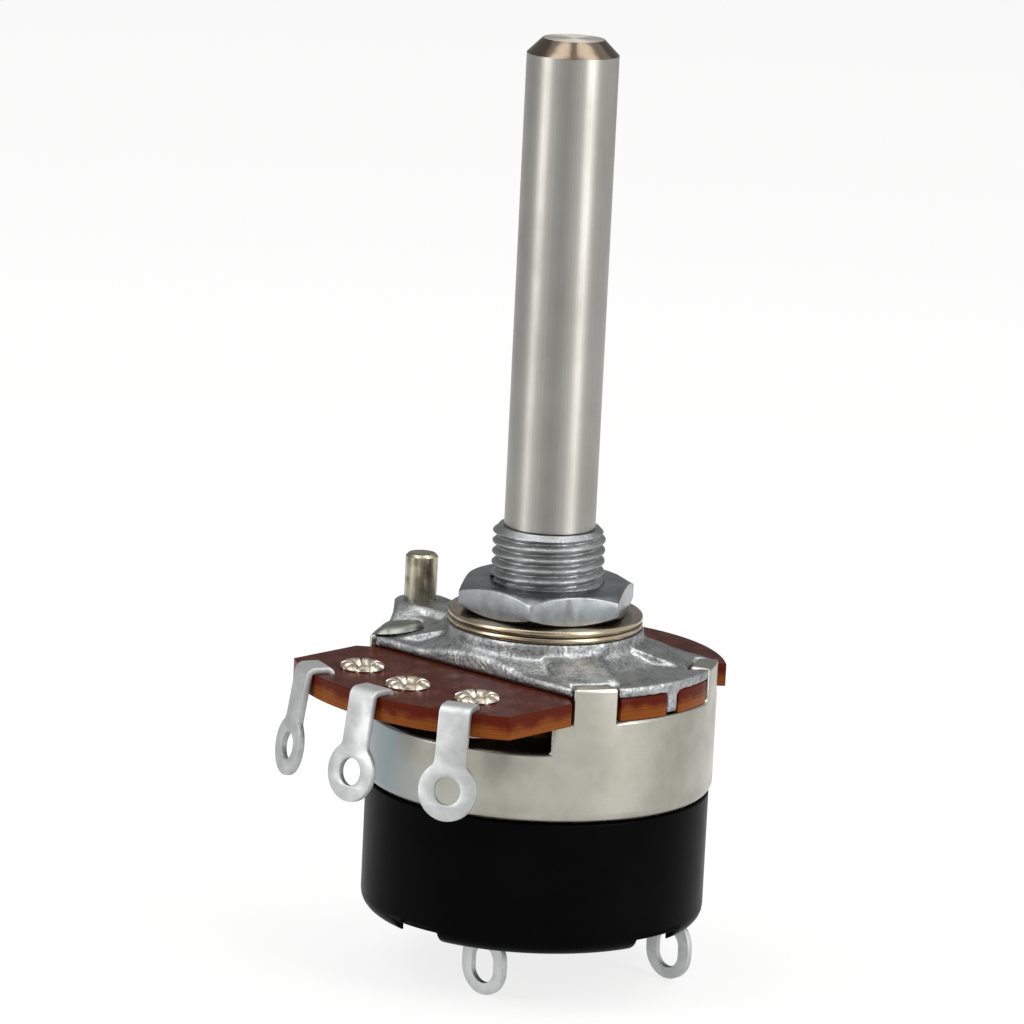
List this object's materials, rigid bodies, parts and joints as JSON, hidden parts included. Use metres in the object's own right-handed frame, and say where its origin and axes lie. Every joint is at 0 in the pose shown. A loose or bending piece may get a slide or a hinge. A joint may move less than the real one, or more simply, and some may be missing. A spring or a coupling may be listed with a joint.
{
  "type": "rotary potentiometer",
  "caption": "Panel-mounted rotary potentiometer with a long plain shaft, a threaded bushing with nut and washers, solder terminals and a rotary on/off switch behind the case.",
  "frame": {"origin": "on the shaft's axis, at the face of the cover's boss that seats behind the panel", "axes": "+Z along the shaft, out of the panel; -Y towards the three terminals; the locating pin is on -X"},
  "size_m": [0.0259, 0.0321, 0.0658],
  "materials": {
    "shaft_metal": "turned, satin, lengthwise streaks",
    "spring_steel": "bright",
    "cast_zinc": "die-cast zinc, fine grain",
    "nickel_steel": "nickel plated, warm",
    "zinc_plated_nut": "zinc plated, bright",
    "laminate": "red-brown paper laminate, glossy",
    "carbon": "printed carbon, matte",
    "silver_ink": "printed silver, satin",
    "tinned_brass": "tin plated, satin",
    "eyelet_metal": "rolled, satin",
    "tin_plate": "drawn tin plate, satin, slightly cloudy",
    "rotor_plastic": "moulded, matte",
    "contact_bronze": "bright",
    "housing_plastic": "moulded black phenolic, semi-gloss"
  },
  "bodies": {
    "housing": {"cover": "cast_zinc", "locating_pin": "nickel_steel", "lock_washer": "nickel_steel", "plain_washer": "nickel_steel", "hex_nut": "zinc_plated_nut", "element_board": "laminate", "resistive_track": "carbon", "collector_ring": "silver_ink", "left_terminal": "tinned_brass", "wiper_terminal": "tinned_brass", "right_terminal": "tinned_brass", "terminal_eyelets": "eyelet_metal", "case": "tin_plate", "switch_housing": "housing_plastic", "front_switch_lug": "tinned_brass", "rear_switch_lug": "tinned_brass", "contact_rivets": "contact_bronze", "case_rivets": "eyelet_metal"},
    "spindle": {"shaft": "shaft_metal", "retaining_clip": "spring_steel", "thrust_washer": "spring_steel", "rotor": "rotor_plastic", "wiper": "contact_bronze"},
    "toggle": {"switch_rotor": "rotor_plastic", "bridge_contact": "contact_bronze", "detent_spring": "spring_steel", "detent_ball": "spring_steel"}
  },
  "joints": [
    {"name": "shaft_turn", "type": "hinge", "parent": "housing", "child": "spindle", "pos_m": [0, 0, 0], "axis": [0, 0, 1], "range_deg": [-150, 150]},
    {"name": "switch_turn", "type": "hinge", "parent": "housing", "child": "toggle", "pos_m": [0, 0, 0], "axis": [0, 0, 1], "range_deg": [0, 30]}
  ]
}
